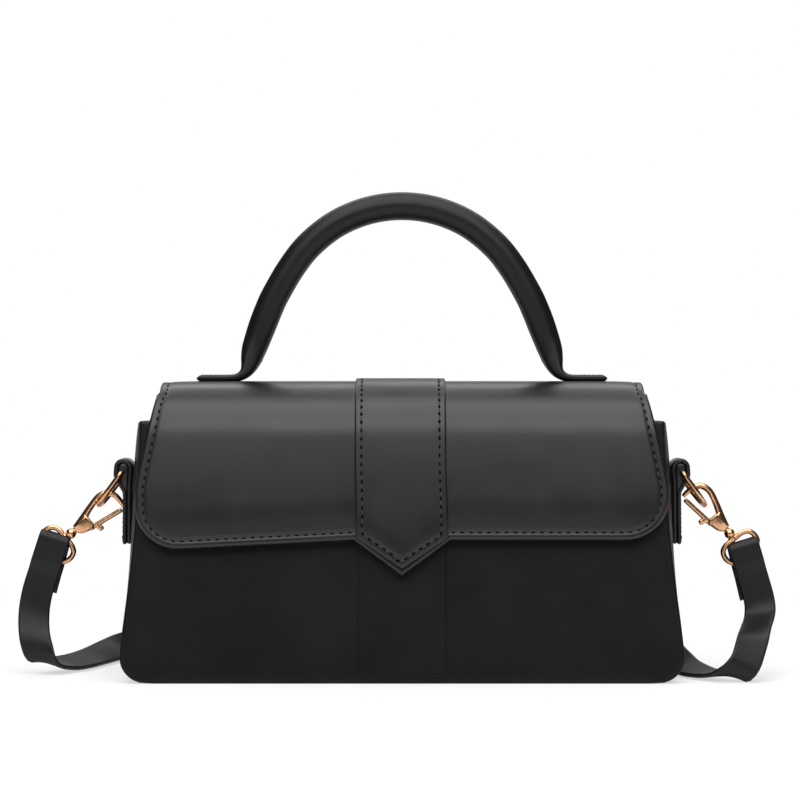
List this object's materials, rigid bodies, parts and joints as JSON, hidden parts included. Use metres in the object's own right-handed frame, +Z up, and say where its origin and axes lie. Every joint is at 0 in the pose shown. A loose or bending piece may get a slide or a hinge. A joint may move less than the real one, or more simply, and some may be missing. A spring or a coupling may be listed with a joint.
{
  "type": "baguette bag",
  "caption": "Structured top-handle bag with a hinged pointed flap, a rolled arch handle, side rings and a long flat strap on swivel snap hooks.",
  "frame": {"origin": "centre of the base, on the surface that the bag stands on", "axes": "+X along the bag's width, towards the right when facing its front; +Y from front to back; +Z up"},
  "size_m": [0.3064, 0.1349, 0.195],
  "materials": {
    "black_leather": "smooth satin",
    "strap_leather": "smooth satin",
    "board": "plain board",
    "lining_cloth": "woven lining",
    "magnet_steel": "plated",
    "gold_metal": "polished pale gold",
    "foam_core": "foam rod"
  },
  "bodies": {
    "bag": {"front_panel": "black_leather", "back_panel": "black_leather", "front_centre_strip": "black_leather", "base_panel": "black_leather", "left_gusset": "black_leather", "right_gusset": "black_leather", "front_board": "board", "back_board": "board", "base_board": "board", "front_magnet": "magnet_steel", "lining": "lining_cloth", "left_side_tab": "black_leather", "right_side_tab": "black_leather", "left_strap_run": "strap_leather", "right_strap_run": "strap_leather", "strap_hank": "strap_leather"},
    "flap": {"flap_outer": "black_leather", "flap_board": "board", "flap_magnet": "magnet_steel", "flap_lining": "lining_cloth", "flap_band": "black_leather", "left_handle_tab": "black_leather", "right_handle_tab": "black_leather"},
    "handle": {"handle_cover": "black_leather", "handle_core": "foam_core"},
    "left_clasp": {"left_d_ring": "gold_metal", "left_swivel_eye": "gold_metal", "left_strap_fold": "strap_leather"},
    "left_snap": {"left_hook": "gold_metal", "left_gate_pin": "gold_metal"},
    "left_latch": {"left_gate": "gold_metal"},
    "right_clasp": {"right_d_ring": "gold_metal", "right_swivel_eye": "gold_metal", "right_strap_fold": "strap_leather"},
    "right_snap": {"right_hook": "gold_metal", "right_gate_pin": "gold_metal"},
    "right_latch": {"right_gate": "gold_metal"}
  },
  "joints": [
    {"name": "flap_hinge", "type": "hinge", "parent": "bag", "child": "flap", "pos_m": [0, 0.025, 0.10303], "axis": [-1, 0, 0], "range_deg": [0, 130]},
    {"name": "handle_rock", "type": "hinge", "parent": "flap", "child": "handle", "pos_m": [0, 0.0024, 0.1275], "axis": [-1, 0, 0], "range_deg": [-45, 45], "stiffness_Nm_per_rad": 0.1},
    {"name": "left_clasp_swing", "type": "hinge", "parent": "bag", "child": "left_clasp", "pos_m": [-0.11277, 0, 0.08161], "axis": [0, 1, 0], "range_deg": [0, 75], "deforming": ["left_strap_run"]},
    {"name": "left_swivel", "type": "hinge", "parent": "left_clasp", "child": "left_snap", "pos_m": [-0.1342, 0, 0.05665], "axis": [-0.7738, 0, -0.6334], "range_deg": [-20, 20]},
    {"name": "left_gate_pivot", "type": "hinge", "parent": "left_snap", "child": "left_latch", "pos_m": [-0.12592, 0, 0.05916], "axis": [0, -1, 0], "range_deg": [0, 12], "stiffness_Nm_per_rad": 0.05, "springref_deg": -8.59},
    {"name": "right_clasp_swing", "type": "hinge", "parent": "bag", "child": "right_clasp", "pos_m": [0.11277, 0, 0.08161], "axis": [0, -1, 0], "range_deg": [0, 75], "deforming": ["right_strap_run"]},
    {"name": "right_swivel", "type": "hinge", "parent": "right_clasp", "child": "right_snap", "pos_m": [0.1328, 0, 0.05665], "axis": [0.6266, 0, -0.7793], "range_deg": [-20, 20]},
    {"name": "right_gate_pivot", "type": "hinge", "parent": "right_snap", "child": "right_latch", "pos_m": [0.12522, 0, 0.06082], "axis": [0, 1, 0], "range_deg": [0, 8], "stiffness_Nm_per_rad": 0.05, "springref_deg": -8.59}
  ]
}
